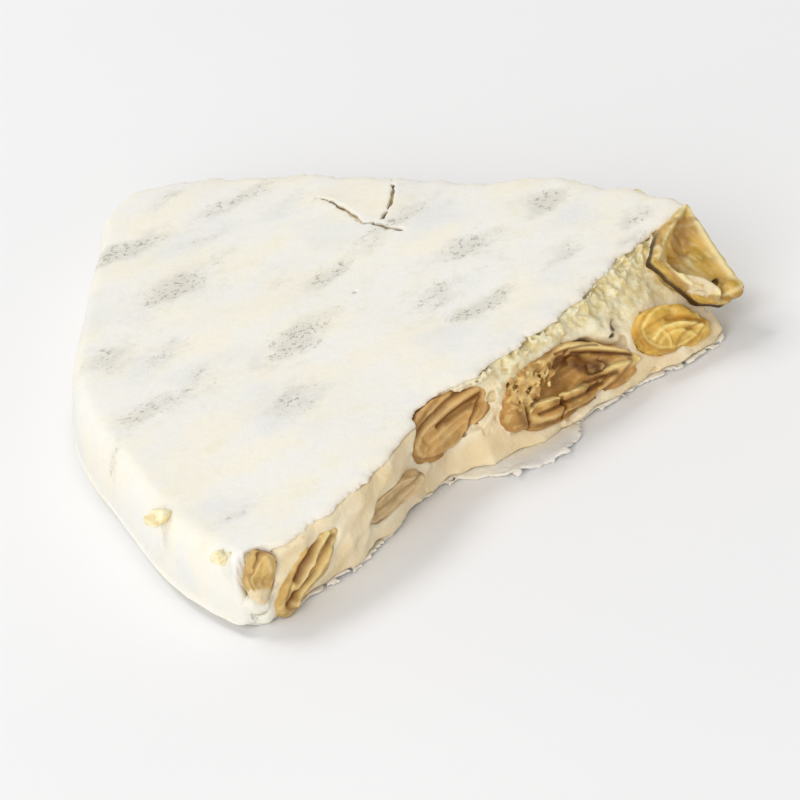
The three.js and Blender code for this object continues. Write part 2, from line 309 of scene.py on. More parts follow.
def make_piece(name, points, faces, material, masks):
    """A smooth-shaded object that rides on the body. masks are named values for its points."""
    mesh = bpy.data.meshes.new(name)
    corners = np.concatenate([group.ravel() for group in faces]).astype(int32)
    sizes = np.concatenate([np.full(len(group), group.shape[1]) for group in faces])
    mesh.vertices.add(len(points))
    mesh.vertices.foreach_set("co", (points * MM).astype(float32).ravel())
    mesh.loops.add(len(corners))
    mesh.loops.foreach_set("vertex_index", corners)
    mesh.polygons.add(len(sizes))
    starts = np.concatenate([[0], np.cumsum(sizes)[:-1]]).astype(int32)
    mesh.polygons.foreach_set("loop_start", starts)
    mesh.polygons.foreach_set("use_smooth", np.ones(len(sizes), bool))
    mesh.update(calc_edges=True)
    mesh.validate()
    for mask, values in masks.items():
        attribute = mesh.attributes.new(mask, "FLOAT", "POINT")
        attribute.data.foreach_set("value", values.astype(float32))
    mesh.materials.append(material)
    piece = add_object(name, mesh)
    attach(piece, BODY)
    return piece


# ---- Materials


class Nodes:
    """A material's node tree, with short ways to add to it."""

    def __init__(self, name):
        self.material = bpy.data.materials.new(name)
        self.material.use_nodes = True
        self.tree = self.material.node_tree
        self.place = self.add("ShaderNodeTexCoord").outputs["Object"]
        self.tone = None
        self.normal = None

    def add(self, kind, inputs=(), **settings):
        node = self.tree.nodes.new(kind)
        for key, value in settings.items():
            setattr(node, key, value)
        self.put(node, inputs)
        return node

    def put(self, node, inputs):
        """Sets a node's inputs to values, or links them to outputs."""
        for key, value in dict(inputs).items():
            if isinstance(value, bpy.types.NodeSocket):
                self.tree.links.new(value, node.inputs[key])
            else:
                node.inputs[key].default_value = value

    def noise(self, size, detail=2.0, rough=0.5):
        """Noise with features of this size in millimetres."""
        inputs = {"Vector": self.place, "Scale": 1 / (size * MM), "Detail": detail, "Roughness": rough}
        return self.add("ShaderNodeTexNoise", inputs).outputs["Fac"]

    def mask(self, name):
        return self.add("ShaderNodeAttribute", attribute_name=name).outputs["Fac"]

    def ramp(self, value, low, high, most=1.0):
        """0 below low, most above high, smooth between."""
        inputs = {"Value": value, "From Min": low, "From Max": high, "To Max": most}
        node = self.add("ShaderNodeMapRange", inputs, interpolation_type="SMOOTHSTEP")
        return node.outputs["Result"]

    def math(self, operation, a, b):
        return self.add("ShaderNodeMath", {0: a, 1: b}, operation=operation).outputs[0]

    def plus(self, a, b):
        return self.math("ADD", a, b)

    def times(self, a, b):
        return self.math("MULTIPLY", a, b)

    def mix(self, share, a, b):
        """Colour a turned into colour b by this share."""
        node = self.add("ShaderNodeMix", {"Factor": share, 6: a, 7: b}, data_type="RGBA")
        return node.outputs[2]

    def tint(self, share, *rgb):
        """Turns this share of the tone so far into another colour."""
        self.tone = self.mix(share, self.tone, colour(*rgb))

    def bump(self, height, distance):
        """Relief of this depth in millimetres, on top of the relief so far."""
        inputs = {"Height": height, "Distance": distance * MM}
        if self.normal is not None:
            inputs["Normal"] = self.normal
        self.normal = self.add("ShaderNodeBump", inputs).outputs["Normal"]

    def finish(self, rough, subsurface=0.0, radius=(1.0, 0.6, 0.3), specular=0.5):
        inputs = {
            "Base Color": self.tone,
            "Roughness": rough,
            "Normal": self.normal,
            "Subsurface Weight": subsurface,
            "Subsurface Radius": radius,
            "Subsurface Scale": MM,
            "Specular IOR Level": specular,
        }
        self.put(self.tree.nodes["Principled BSDF"], inputs)
        return self.material


def colour(*rgb):
    """An sRGB colour, 0 to 255, as a shader wants it."""
    shares = [c / 255 for c in rgb]
    return (*(s / 12.92 if s <= 0.04045 else ((s + 0.055) / 1.055) ** 2.4 for s in shares), 1.0)


def wafer_material():
    m = Nodes("wafer")
    dent = m.mask("dent")
    cloud = m.plus(m.noise(8, 3), m.times(m.mask("streak"), 0.12))
    m.tone = m.mix(m.ramp(cloud, 0.38, 0.62), colour(239, 237, 230), colour(242, 237, 222))
    m.tint(m.ramp(m.noise(5, 3), 0.55, 0.75, 0.5), 238, 230, 204)
    m.tint(m.ramp(m.noise(11, 3), 0.5, 0.68, 0.6), 228, 229, 228)
    # Grey in the upper wafer's dents: partly the wafer's own mottling and partly painted shade, greyer
    # in deeper dents.
    dent_shade_and_mottle = m.plus(dent, m.times(m.noise(1.9, 5, 0.7), 1.5))
    m.tint(m.ramp(dent_shade_and_mottle, 0.78, 1.6, 0.7), 212, 209, 198)
    # Dark specks in small pits within the dents: painted shade in the pits, which the last bump also
    # sinks.
    patchy = m.plus(dent, m.times(m.noise(1.6, 3), 1.3))
    pit = m.times(m.ramp(m.noise(0.62, 3, 0.7), 0.56, 0.68), m.ramp(patchy, 0.85, 1.4))
    m.tint(m.times(pit, 0.45), 176, 170, 154)
    m.tint(m.times(m.mask("torn"), 0.6), 240, 228, 208)
    m.bump(m.noise(0.35, 3, 0.6), 0.05)
    m.bump(m.noise(1.2, 2), 0.08)
    m.bump(m.math("SUBTRACT", 1.0, pit), 0.14)
    return m.finish(0.75, subsurface=0.1, radius=(0.6, 0.5, 0.4), specular=0.25)


def nougat_material():
    m = Nodes("nougat")
    body = m.mix(m.ramp(m.noise(4.5, 3), 0.35, 0.65), colour(244, 226, 192), colour(236, 215, 172))
    grainy = m.ramp(m.noise(1.1, 4, 0.65), 0.36, 0.66)
    sugar = m.mix(grainy, colour(250, 242, 208), colour(226, 206, 146))
    m.tone = m.mix(m.mask("crumb"), body, sugar)
    m.tint(m.times(m.mask("halo"), 0.6), 250, 240, 214)
    # Painted shade in the holes of the front break.
    m.tint(m.times(m.mask("hole_and_gap_shade"), 0.85), 66, 48, 24)
    m.tint(m.mask("rim"), 240, 236, 222)
    m.bump(m.noise(0.3, 3, 0.65), 0.06)
    m.bump(m.noise(0.9, 3, 0.6), 0.08)
    return m.finish(0.55, subsurface=0.25, radius=(1.0, 0.75, 0.45), specular=0.35)


ALMOND_TONES = {  # flesh, ridges with a painted highlight, and hollows with painted shade and the skin's brown
    "brown": ((204, 152, 78), (250, 222, 150), (104, 58, 16)),
    "golden": ((218, 180, 106), (244, 220, 156), (136, 86, 34)),
    "tawny": ((216, 168, 98), (240, 204, 140), (132, 86, 32)),
    "tan": ((224, 190, 136), (238, 214, 170), (160, 128, 70)),
    "gold": ((232, 186, 84), (252, 228, 144), (176, 120, 38)),
    "olive": ((216, 175, 78), (253, 240, 186), (160, 114, 62)),
}
SHADE = 0.84  # how dark the darker flesh is


def almond_material(name):
    flesh, pale, dark = ALMOND_TONES[name]
    m = Nodes("almond_" + name)
    shade = colour(*(SHADE * c for c in flesh))
    m.tone = m.mix(m.ramp(m.noise(2.4, 3), 0.35, 0.68), colour(*flesh), shade)
    fibre = m.plus(m.mask("fibre"), m.noise(0.5, 3, 0.6))
    m.tint(m.ramp(fibre, 0.5, 1.0, 0.3), *pale)
    # Pale on ridges: a painted highlight; on crumbs it is their own golden colour.
    m.tint(m.mask("ridge_highlight_and_grain"), *pale)
    # Dark in grooves and hollows: painted shade; in the ring past the face's edge, the brown skin and
    # the shade of its gap.
    m.tint(m.mask("groove_shade_and_skin"), *dark)
    # Painted shadow of the gap under a piece of shell, and painted shade in its dark hole.
    m.tint(m.mask("hole_and_gap_shade"), 70, 48, 20)
    nougat = m.mix(m.noise(0.7, 4), colour(246, 234, 204), colour(226, 204, 160))
    m.tone = m.mix(m.mask("coat"), m.tone, nougat)
    m.bump(m.noise(0.25, 3, 0.6), 0.05)
    m.bump(m.noise(0.8, 3, 0.6), 0.1)
    return m.finish(0.45, subsurface=0.12, radius=(0.8, 0.45, 0.2), specular=0.4)


# ---- Wafers

WAFER_STEP = 0.25  # the grid's step over the plane
SHEET_STEP = 0.1  # and through the sheet
SHEET_DETAIL = 0.0006  # how much the meshing may leave out
RIM_ROUNDING = 3.2  # how far in from its edge the upper wafer starts to turn down over the rim
RIM_DROP = 7.2  # and how far down it goes
RIM_STEEPNESS = 0.95  # how nearly upright it gets
RIM_LIP = 0.28  # the strip along its edge that is all the way down
RIM_BAND = 1.85  # the CAD's outline on the rim is within this of the slab's radius
RIM_OVERHANG = 1.5  # how far the upper wafer reaches past the CAD's
LOWER_OVERHANG = 0.2
RIM_CURL = 0.5  # how far the lower wafer lifts at the rim
GRAIN = 33  # the direction in degrees in which the slab was rolled out
NEAR_BLUR = (3, 4)  # passes and width
WIDE_BLUR = (3, 14)

# The upper wafer's dents between almonds: place, half length, half width, direction in
# degrees and depth.
DENTS = [
    (-24.4, 17.9, 6.0, 3.2, 30, 0.30),
    (-11.8, -3.5, 6.5, 2.6, 40, 0.30),
    (9.9, 5.1, 4.5, 2.4, 10, 0.34),
    (20.7, -2.9, 3.6, 2.2, 50, 0.20),
    (5.3, -3.5, 3.2, 2.6, 20, 0.20),
    (10.0, -8.8, 4.6, 1.8, 30, 0.28),
    (-13.8, -16.9, 4.0, 3.0, 60, 0.20),
    (-29.9, -9.0, 5.6, 2.6, 15, 0.20),
    (-33.7, 6.0, 4.0, 3.6, 60, 0.18),
    (21.0, 10.3, 2.6, 3.2, 60, 0.34),
    (-29.2, 31.8, 6.4, 2.4, 5, 0.24),
    (-15.4, 35.9, 7.0, 2.0, 20, 0.18),
    (-5.7, 10.1, 4.6, 1.6, 45, 0.26),
    (-27.0, 3.0, 4.4, 1.6, 40, 0.16),
    (3.0, 16.5, 7.5, 1.8, 36, 0.20),
    (30.0, -0.5, 2.6, 1.8, 40, 0.22),
]
SMALL_DENTS = 34
DARK_DENT = 0.28  # a dent this deep is painted as grey as any, the grey partly its shade

# Round openings in the upper wafer, place and radius: a pinhole, and where the first almond
# stands up through it.
OPENINGS = [(-3.9, 3.3, 0.3), (-21.8, -46.3, 1.5)]


def slab_inset(xy):
    """How far each place is inside the slab's round edge."""
    return SLAB_RADIUS - norm(xy[:, :2] - SLAB_CENTRE, axis=1)


def rim_share(xy):
    """1 at the slab's rim and 0 away from it."""
    return 1 - ramp(slab_inset(xy), 2.5, 5.5)


def directions(degrees):
    """Unit vectors in the plane, along this direction and across it."""
    angle = math.radians(degrees)
    return np.array([[math.cos(angle), math.sin(angle)], [-math.sin(angle), math.cos(angle)]])


class Sheet:
    """A wafer as a field over the plane: X, Y and the height within the sheet."""

    def __init__(self, node, side, margin=2.5, headroom=0.4):
        self.loops = outlines(node, side)
        loop = self.loops[0]
        low = np.array([*(loop[:, :2].min(0) - margin), -headroom])
        high = np.array([*(loop[:, :2].max(0) + margin), WAFER + headroom])
        self.field = Field(low, high, (WAFER_STEP, WAFER_STEP, SHEET_STEP))
        self.shape = self.field.phi.shape[:2]
        x, y = (low[k] + WAFER_STEP * np.arange(self.shape[k]) for k in (0, 1))
        self.xy = np.stack(np.meshgrid(x, y, indexing="ij"), -1).reshape(-1, 2).astype(float32)
        self.edge = distance_to_outline(self.xy, loop)
        self.torn = 1 - rim_share(self.xy)
        self.find_rim(loop[:, :2])

    def find_rim(self, a):
        """Finds the stretch of the outline that is on the slab's rim."""
        b = np.roll(a, -1, 0)
        on_rim = (slab_inset(a) < RIM_BAND) & (slab_inset(b) < RIM_BAND)
        away = distance_to_lines(self.xy, a[on_rim], b[on_rim])
        self.rim_edge = away * np.sign(self.edge)
        self.rim_end = max(a[on_rim].tolist(), key=lambda point: point[1])
        self.at_rim = self.turning(self.xy) * (1 - ramp(away - np.abs(self.edge), 0, 1.2))

    def turning(self, points):
        """How much of the upper wafer's turn over the rim is left: it fades at the back corner."""
        away = norm(points[:, :2] - np.array(self.rim_end), axis=1)
        return rim_share(points) * ramp(away, 1.5, 10)

    def sample(self, values, points):
        """Values on the plane's grid, at places between its points."""
        grid = values.astype(float32).reshape(self.shape)
        at = (points[:, :2] - self.field.low[:2]) / WAFER_STEP
        cell = np.clip(np.floor(at).astype(int), 0, np.array(self.shape) - 2)
        f = np.clip(at - cell, 0, 1)
        i, j = cell.T
        near = grid[i, j] * (1 - f[:, 0]) + grid[i + 1, j] * f[:, 0]
        far = grid[i, j + 1] * (1 - f[:, 0]) + grid[i + 1, j + 1] * f[:, 0]
        return near * (1 - f[:, 1]) + far * f[:, 1]

    def polygons(self, edge, thickness):
        """The mesh of a flat sheet with this signed distance to its edge and this thickness."""
        w = self.field.low[2] + SHEET_STEP * np.arange(self.field.phi.shape[2])
        middle = thickness[:, None] / 2
        slab = np.abs(w[None, :] - middle) - middle
        self.field.phi = soft_max(edge[:, None], slab, 0.2).astype(float32)
        self.field.phi = self.field.phi.reshape(*self.shape, len(w))
        return self.field.polygons(SHEET_DETAIL)


def top_heights(sheet, node, start=100.0, inset=0.2):
    """The height of a CAD node's top over the plane, smoothed. It's measured at every third
    point, and spread from there."""
    points, faces = cad_mesh(node)
    tree = BVHTree.FromPolygons(points.tolist(), faces.tolist())
    found = np.zeros(len(sheet.xy), float32)
    known = np.zeros(len(sheet.xy), float32)
    lattice = np.indices(sheet.shape).sum(0).reshape(-1) % 3 == 0
    for k in np.flatnonzero((sheet.edge < -inset) & lattice):
        x, y = sheet.xy[k].tolist()
        hit = tree.ray_cast(Vector((x, y, start)), Vector((0, 0, -1)))[0]
        if hit is not None and hit.z > WAFER:
            found[k] = hit.z
            known[k] = 1
    total = blurred((found * known).reshape(sheet.shape), *NEAR_BLUR)
    weight = blurred(known.reshape(sheet.shape), *NEAR_BLUR)
    near = total / np.maximum(weight, 1e-6)
    far = blurred(total, *WIDE_BLUR) / np.maximum(blurred(weight, *WIDE_BLUR), 1e-6)
    return np.where(weight > 0.01, near, far).reshape(-1)


def turned_down(rim_edge, rim):
    """How far the upper wafer has gone down, at a distance inside its edge on the rim."""
    turn = RIM_STEEPNESS * np.clip(1 + np.minimum(rim_edge + RIM_LIP, 0) / RIM_ROUNDING, 0, 1)
    whole = 1 - math.sqrt(1 - RIM_STEEPNESS**2)
    return RIM_DROP * rim * (1 - np.sqrt(1 - turn**2)) / whole


def all_dents():
    """The placed dents, and smaller ones at random along the grain."""
    rng = np.random.default_rng(33)
    dents = list(DENTS)
    for _ in range(SMALL_DENTS):
        x, y = rng.uniform((-37, -38), (34, 44))
        long, wide = rng.uniform(1.6, 4.4), rng.uniform(0.8, 2.2)
        dents.append((x, y, long, wide, GRAIN + rng.uniform(-25, 25), rng.uniform(0.04, 0.17)))
    return dents


def dent_field(xy):
    """How far each place is into a dent, 0 to 1 and less in a shallow dent, which sets the grey that
    is painted partly as the dents' shade, and how deep the dents are there.
    """
    p = flat3(xy)
    warp = np.stack([noise(p, 4.5, 101), noise(p, 4.5, 102)], -1) * 1.7
    warp += np.stack([noise(p, 1.8, 103), noise(p, 1.8, 104)], -1) * 0.7
    share = np.zeros(len(xy), float32)
    depth = np.zeros(len(xy), float32)
    for x, y, long, wide, degrees, deep in all_dents():
        along, across = directions(degrees)
        d = xy + warp - np.array([x, y])
        size2 = (d @ along / long) ** 2 + (d @ across / wide) ** 2
        bowl = np.exp(-1.1 * size2).astype(float32)
        share = np.maximum(share, bowl * min(1, deep / DARK_DENT))
        depth += deep * bowl
    return share, depth


def streaks(xy, size, seed, length=2.6):
    """Noise drawn out along the grain."""
    along, across = directions(GRAIN)
    return noise(np.stack([xy @ along / length, xy @ across, np.zeros(len(xy))], -1), size, seed)


def jagged(p, amount, seed):
    """How a torn edge strays from its line."""
    teeth = np.abs(noise(p, 1.0, seed + 1)) - 0.3
    return amount * (0.6 * noise(p, 1.9, seed) + 0.9 * teeth + 0.5 * noise(p, 4.5, seed + 2))


def crack_distance(sheet, least=3):
    """The distance to the crack: the short outlines inside the upper wafer's own."""
    out = np.full(len(sheet.xy), FAR, float32)
    for loop in sheet.loops[1:]:
        if extent(loop) > least:
            out = np.minimum(out, distance_to_outline(sheet.xy, loop))
    return out


def upper_relief(sheet, p, dent_depth, rolled):
    relief = 0.20 * noise(p, 17, 11) + 0.16 * rolled + 0.07 * streaks(sheet.xy, 2.2, 111)
    relief += layered(p, (0.03, 1.6, 13), (0.015, 0.8, 14))
    return relief - dent_depth * (1 + 0.3 * noise(p, 1.8, 15))


def opened(edge, crack, sheet, p):
    """The distance to the upper wafer's edge, with the crack and the round openings cut out."""
    edge = np.maximum(edge, -(crack + 0.04 + 0.22 * noise(p, 1.1, 23)))
    for x, y, radius in OPENINGS:
        edge = np.maximum(edge, radius - norm(sheet.xy - np.array([x, y]), axis=1))
    return edge


def build_upper_wafer(material):
    """Makes the upper wafer. Gives its sheet, its height and how far its top is off that."""
    sheet = Sheet("wafer_top", 1)
    p = flat3(sheet.xy)
    base = top_heights(sheet, "wafer_top")
    dent, dent_depth = dent_field(sheet.xy)
    rolled = streaks(sheet.xy, 5.5, 110)
    edge = sheet.edge - RIM_OVERHANG * sheet.at_rim + sheet.torn * jagged(p, 0.5, 21)
    inset = np.maximum(-edge, 0)
    rim_edge = sheet.rim_edge - RIM_OVERHANG
    relief = upper_relief(sheet, p, dent_depth, rolled)
    relief -= 0.12 * sheet.torn * np.exp(-inset / 0.8)
    crack = crack_distance(sheet)
    flake = np.exp(-np.maximum(crack, 0) / 2.4) * (0.45 + 0.5 * noise(p, 6.0, 24))
    thinned = rim_share(sheet.xy) * np.exp(-np.maximum(-rim_edge, 0) / 1.2)
    thickness = WAFER * (1 - 0.4 * sheet.torn * np.exp(-inset / 0.7) - 0.6 * thinned)
    points, faces = sheet.polygons(opened(edge, crack, sheet, p), thickness)
    masks = {
        # dent carries the grey painted partly as the shade of the dents.
        "dent": sheet.sample(dent, points),
        "streak": sheet.sample(rolled, points),
        "torn": sheet.sample(sheet.torn * np.exp(-inset / 0.4), points),
    }
    crust = sheet.sample(relief + 0.5 * flake + base - WAFER, points)
    crust -= turned_down(sheet.sample(rim_edge, points), sheet.turning(points))
    points[:, 2] += crust
    piece = make_piece("wafer_upper", points, faces, material, masks)
    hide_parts("wafer_top")
    return sheet, base, relief - turned_down(rim_edge, sheet.turning(sheet.xy))


def build_lower_wafer(material):
    """Makes the lower wafer. Gives its sheet and how far it lifts."""
    sheet = Sheet("wafer_bottom", -1)
    p = flat3(sheet.xy)
    past = ramp(distance_to_outline(sheet.xy, outlines("nougat", -1)[0]), 0.8, 2.5)
    edge = sheet.edge + sheet.torn * (1 + 0.8 * past) * jagged(p, 0.95, 31)
    edge -= LOWER_OVERHANG * sheet.at_rim
    inset = np.maximum(-edge, 0)
    thickness = WAFER * (1 - 0.45 * sheet.torn * np.exp(-inset / 0.9))
    points, faces = sheet.polygons(edge, thickness)
    curl = RIM_CURL * sheet.at_rim * np.exp(-inset / 0.8)
    curl += 0.6 * sheet.torn * np.exp(-inset / 1.4) * np.maximum(0.3 + noise(p, 2.6, 33), 0)
    lift = curl + 0.05 * np.maximum(noise(p, 3.0, 34), 0)
    masks = {
        "dent": sheet.sample(0.3 + 0.4 * noise(p, 6, 35) - past, points),
        "streak": sheet.sample(streaks(sheet.xy, 5.5, 112), points),
        "torn": sheet.sample(sheet.torn * np.exp(-inset / 0.5), points),
    }
    points[:, 2] += sheet.sample(lift, points)
    piece = make_piece("wafer_lower", points, faces, material, masks)
    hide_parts("wafer_bottom")
    return sheet, lift


# ---- Nougat

NOUGAT_STEP = 0.2
NOUGAT_BAND = 1.6
NOUGAT_DETAIL = 0.03
BREAK_FOOT = 1  # below this height there are no pits

# Small holes in the front break, painted dark as their shade: place, and the radii along and into it.
HOLES = [(23.8, -15.2, 7.4, 0.42, 1.2), (24.1, -14.8, 8.4, 0.36, 1.1), (23.2, -15.7, 6.6, 0.3, 0.8)]


def crumbliness(places):
    """How much the break is sugary crumb, 0 to 1: more towards the middle of the slab."""
    return ramp(places[:, 0] + 5 * noise(places, 7.0, 47), 0, 16)


def bend_to_wafers(field, upper, lower):
    """Moves the field's layers up and down, so that it meets the wafers as they are, and cuts it
    off under the upper one at the rim. Gives the distance to that wafer's CAD outline."""
    sheet, base, shift = upper
    under, lift = lower
    nx, ny, nz = field.phi.shape
    xy = field.where(np.ones((nx, ny, 1), bool))
    top = sheet.sample(base, xy).reshape(nx, ny, 1)
    raised = sheet.sample(shift, xy).reshape(nx, ny, 1)
    lifted = under.sample(lift, xy).reshape(nx, ny, 1)
    z = (field.low[2] + field.step[2] * np.arange(nz)).reshape(1, 1, nz)
    height = z / np.maximum(top, 1)
    moved = raised * ramp(height, 0.3, 0.9) + lifted * (1 - ramp(height, 0.1, 0.35))
    at = np.clip((z - moved - field.low[2]) / field.step[2], 0, nz - 1.001)
    cell = at.astype(int32)
    share = (at - cell).astype(float32)
    below = np.take_along_axis(field.phi, cell, 2)
    above = np.take_along_axis(field.phi, cell + 1, 2)
    field.phi = below * (1 - share) + above * share
    over = z - (top - WAFER + raised)
    rim = rim_share(xy).reshape(nx, ny, 1)
    field.phi = np.where(rim > 0.3, np.maximum(field.phi, over), field.phi)
    return sheet.sample(sheet.edge, xy).reshape(nx, ny, 1)


def scatter_on_surface(field, shown, rng, count, weight):
    """Random places on the field's surface where it shows, more where weight is high."""
    shell = (np.abs(field.phi) < 0.6 * field.step[0]) & shown
    places = field.where(shell)
    chance = weight(places)
    return places[rng.choice(len(places), count, replace=False, p=chance / chance.sum())]


def on_break(places):
    return (1 - rim_share(places)) * (places[:, 2] > BREAK_FOOT) + 1e-6


def on_crest(places):
    """1 just under the upper wafer on the front break, and less lower down on the far one."""
    front = ramp(places[:, 1], 0, -4) * ramp(places[:, 2], 9.2, 11.2)
    far = 0.15 * ramp(places[:, 1], 0, 4) * (places[:, 2] < 9.5)
    return on_break(places) * crumbliness(places) * (front + far) + 1e-6


# Pits, grains and finer pits on the breaks: how many, where, cut out or added, the range of their
# sizes, the range by which each radius differs, how softly they join, and their own noise.
GRAINS = [
    (150, on_break, Field.carve, (0.2, 0.5), (0.6, 1.6), 0.25, (0.2, 0.5, 53)),
    (600, on_crest, Field.add, (0.15, 0.36), (0.6, 1.5), 0.2, (0.2, 0.45, 49)),
    (500, on_crest, Field.carve, (0.18, 0.5), (0.7, 1.4), 0.1, None),
]


def clear_faces(field, splits):
    """Clears the nougat from in front of the almonds' split faces, and fills some pockets."""
    for split in splits.values():
        radii = (split.half[0] + 0.5, split.half[1] + 0.35, 1.5)
        field.carve(split.centre + 0.9 * split.axes[2], radii, split.axes, 0.3)
    for node, lump in FILLS.items():
        field.add(*splits[node].ellipsoid(*lump), 0.5, (0.25, 1.6, 52))


def ring_share(points, splits):
    """How near a point is to the edge of an almond's split face, 0 to 1."""
    share = np.zeros(len(points), float32)
    for split in splits.values():
        local = split.local(points)
        beyond = (np.sqrt(split.ring(local)) - 1) * split.half[1]
        share = np.maximum(share, np.exp(-((beyond / 0.9) ** 2)) * (np.abs(local[:, 2]) < 3))
    return share


def hole_share(points):
    """1 in the holes, where their shade is painted dark, and 0 beyond them."""
    share = np.zeros(len(points), float32)
    for x, y, z, long, wide in HOLES:
        away = norm((points - (x, y, z)) / (long, wide, long), axis=1)
        share = np.maximum(share, 1 - ramp(away, 1.05, 1.6))
    return share


def roughen_nougat(field, edge):
    """Makes the breaks uneven and the rim nearly smooth, and fills out the rim's foot."""
    near = (np.abs(field.phi) < 1.3) & (edge > -5)
    places = field.where(near)
    rim = rim_share(places)
    crumbly = crumbliness(places) * ramp(places[:, 2], 3, 10)
    rough = layered(places, (0.28, 3.6, 41), (0.12, 1.5, 42))
    rough += crumbly * (0.12 * np.abs(noise(places, 1.5, 43)) + 0.14 * noise(places, 0.65, 45))
    smooth = layered(places, (0.05, 6.0, 44), (0.03, 1.5, 48))
    smooth -= 0.3 * (1 - ramp(places[:, 2], 2.4, 3.6))
    field.phi[near] += (1 - rim) * rough + rim * smooth


def build_nougat(material, upper, lower, splits):
    field = Field.of_node("nougat", NOUGAT_STEP, NOUGAT_BAND)
    field.phi -= GAP
    edge = bend_to_wafers(field, upper, lower)
    roughen_nougat(field, edge)
    clear_faces(field, splits)
    rng = np.random.default_rng(7)
    for count, weight, blob, sizes, shares, soft, rough in GRAINS:
        for place in scatter_on_surface(field, edge > -0.6, rng, count, weight):
            radii = rng.uniform(*sizes) * rng.uniform(*shares, 3)
            blob(field, place, radii, None, soft, rough)
    for x, y, z, long, wide in HOLES:
        field.carve((x, y, z), (long, wide, long), None, 0.15, (0.2, 0.8, 46))
    points, faces = field.polygons(NOUGAT_DETAIL)
    rim = rim_share(points)
    masks = {
        "rim": rim,
        "crumb": crumbliness(points) * (1 - rim) * ramp(points[:, 2], 3, 9),
        "halo": ring_share(points, splits) * (1 - rim),
        "hole_and_gap_shade": hole_share(points),
    }
    piece = make_piece("nougat_body", points, faces, material, masks)
    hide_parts("nougat")


# ---- Almonds
#
# Each almond is worked on in its own directions: u along it, v across it and w out of its split
# face. Places are given as shares of its half length and half width, and sizes in millimetres.

ALMOND_STEP = 0.12
ALMOND_DETAIL = 0.002
LEAST_HEIGHT = 0.1  # no almond reaches lower
BACK_CREST = 7.3  # and none on the far break reaches higher
ALMOND_BAND = 1.8
SWELLING = 0.1  # how far an almond's surface is moved out
PLATE_FLOOR = -1.0  # where the middle of a piece of shell is, out of the split face
PLATE_DEPTH = 1.1  # half its thickness
PATCH_GRAINS = 130

FIBRE = np.array([0.22, 1, 0.6])  # fibres run along an almond
FIBRE_SIZE = 0.55

# How much shade is painted in a hollow of an almond on the far break.
HOLLOW_SHADE = 0.85

# What a split face shows. A stroke is a ridge, or a groove if its height is below 0, and is painted
# pale as a highlight or dark as shade: start, bend, end, width and height. Lobes and hollows are
# ellipsoids: place u, v and w, radii, turn in degrees, and how much shade is painted in a hollow, the
# darkest past 1. Crumbs and coats of nougat are patches: place and reach. cut is the line that the
# face ends at, and plate is the outline of a piece of shell.
Look = namedtuple("Look", "finish strokes lobes hollows crumbs coats cut plate", defaults=[()] * 5)

# Ellipsoids of nougat that fill out a pocket.
FILLS = {
    "almond_front_1": (-1.5, 0.0, -0.9, 1.1, 1.7, 1.1, 0),
    "almond_front_5": (0.72, 0.6, -1.9, 3.6, 1.5, 2.0, -52),
}

LOOKS = {}
LOOKS["almond_front_1"] = Look(
    "golden",
    strokes=[
        ((0.4, 1), (1, 0.8), (1.1, 0), 0.2, -0.25),
        ((1.1, 0), (1, -0.95), (0.1, -0.9), 0.22, -0.35),
        ((0.2, -0.2), (0.5, 0), (0.7, 0.1), 0.36, 0.2),
    ],
    lobes=[(0.45, 0.05, -0.3, 1.8, 2, 1.5, 0), (-0.9, 0, -0.7, 1.6, 1.4, 1.2, 0)],
    coats=[(-1.15, 0.1, 0.42, 1.5)],
)
LOOKS["almond_front_2"] = Look(
    "golden",
    strokes=[
        ((-0.45, 0.72), (0, 0.95), (0.5, 0.8), 0.42, -0.7),
        ((-0.6, 0.35), (0, 0.55), (0.8, 0.45), 0.36, 0.35),
        ((-1, 0.2), (-0.65, 0.1), (-0.3, -0.05), 0.38, -0.6),
        ((-0.2, 0.05), (0.3, 0.05), (0.8, -0.05), 0.2, -0.2),
        ((-0.9, -0.5), (0, -0.45), (0.75, -0.3), 0.3, 0.25),
    ],
    lobes=[
        (0.15, -0.75, -0.3, 0.9, 0.6, 0.7, 20),
        (-0.1, 0.6, -0.7, 4, 1.4, 1.2, 4),
        (-0.95, -0.1, -0.7, 1.9, 1.5, 1.3, 0),
        (0.2, -0.5, -0.7, 3.4, 1.4, 1.3, 6),
    ],
)
LOOKS["almond_front_3"] = Look(
    "tan",
    strokes=[
        ((-1, 0.1), (-0.1, 0), (0.9, 0.5), 0.28, -0.22),
        ((-0.8, -0.5), (-0.1, -0.6), (0.6, 0), 0.25, 0.14),
    ],
    lobes=[(0.55, 0.45, -0.5, 1.5, 0.8, 0.9, 15)],
)
LOOKS["almond_front_4"] = Look(
    "tawny",
    strokes=[
        ((-0.9, 0.3), (-0.1, 0.75), (0.85, 0.25), 0.32, 0.28),
        ((-0.75, 0.6), (0, 1), (0.8, 0.5), 0.24, -0.3),
        ((-0.25, 0.2), (0.3, 0.25), (0.88, -0.05), 0.26, -0.5),
        ((-0.05, 0.1), (0.3, 0), (0.6, -0.1), 0.34, -0.24),
        ((-1.1, 0.3), (-0.9, -0.9), (0.1, -1.1), 0.2, -0.2),
        ((-0.75, -0.1), (0, 0), (0.5, -0.25), 0.22, 0.16),
        ((-0.7, -0.42), (-0.1, -0.35), (0.35, -0.5), 0.22, 0.14),
        ((0.3, -0.95), (0.45, -0.4), (0.85, -0.12), 0.2, -0.3),
    ],
    lobes=[
        (0.72, -0.7, -0.6, 2.4, 1.5, 1.3, -24),
        (-0.25, -0.35, -1.5, 4.4, 1.5, 1.7, 0),
        (-0.88, 0, -0.7, 1.8, 2, 1.4, 0),
    ],
)
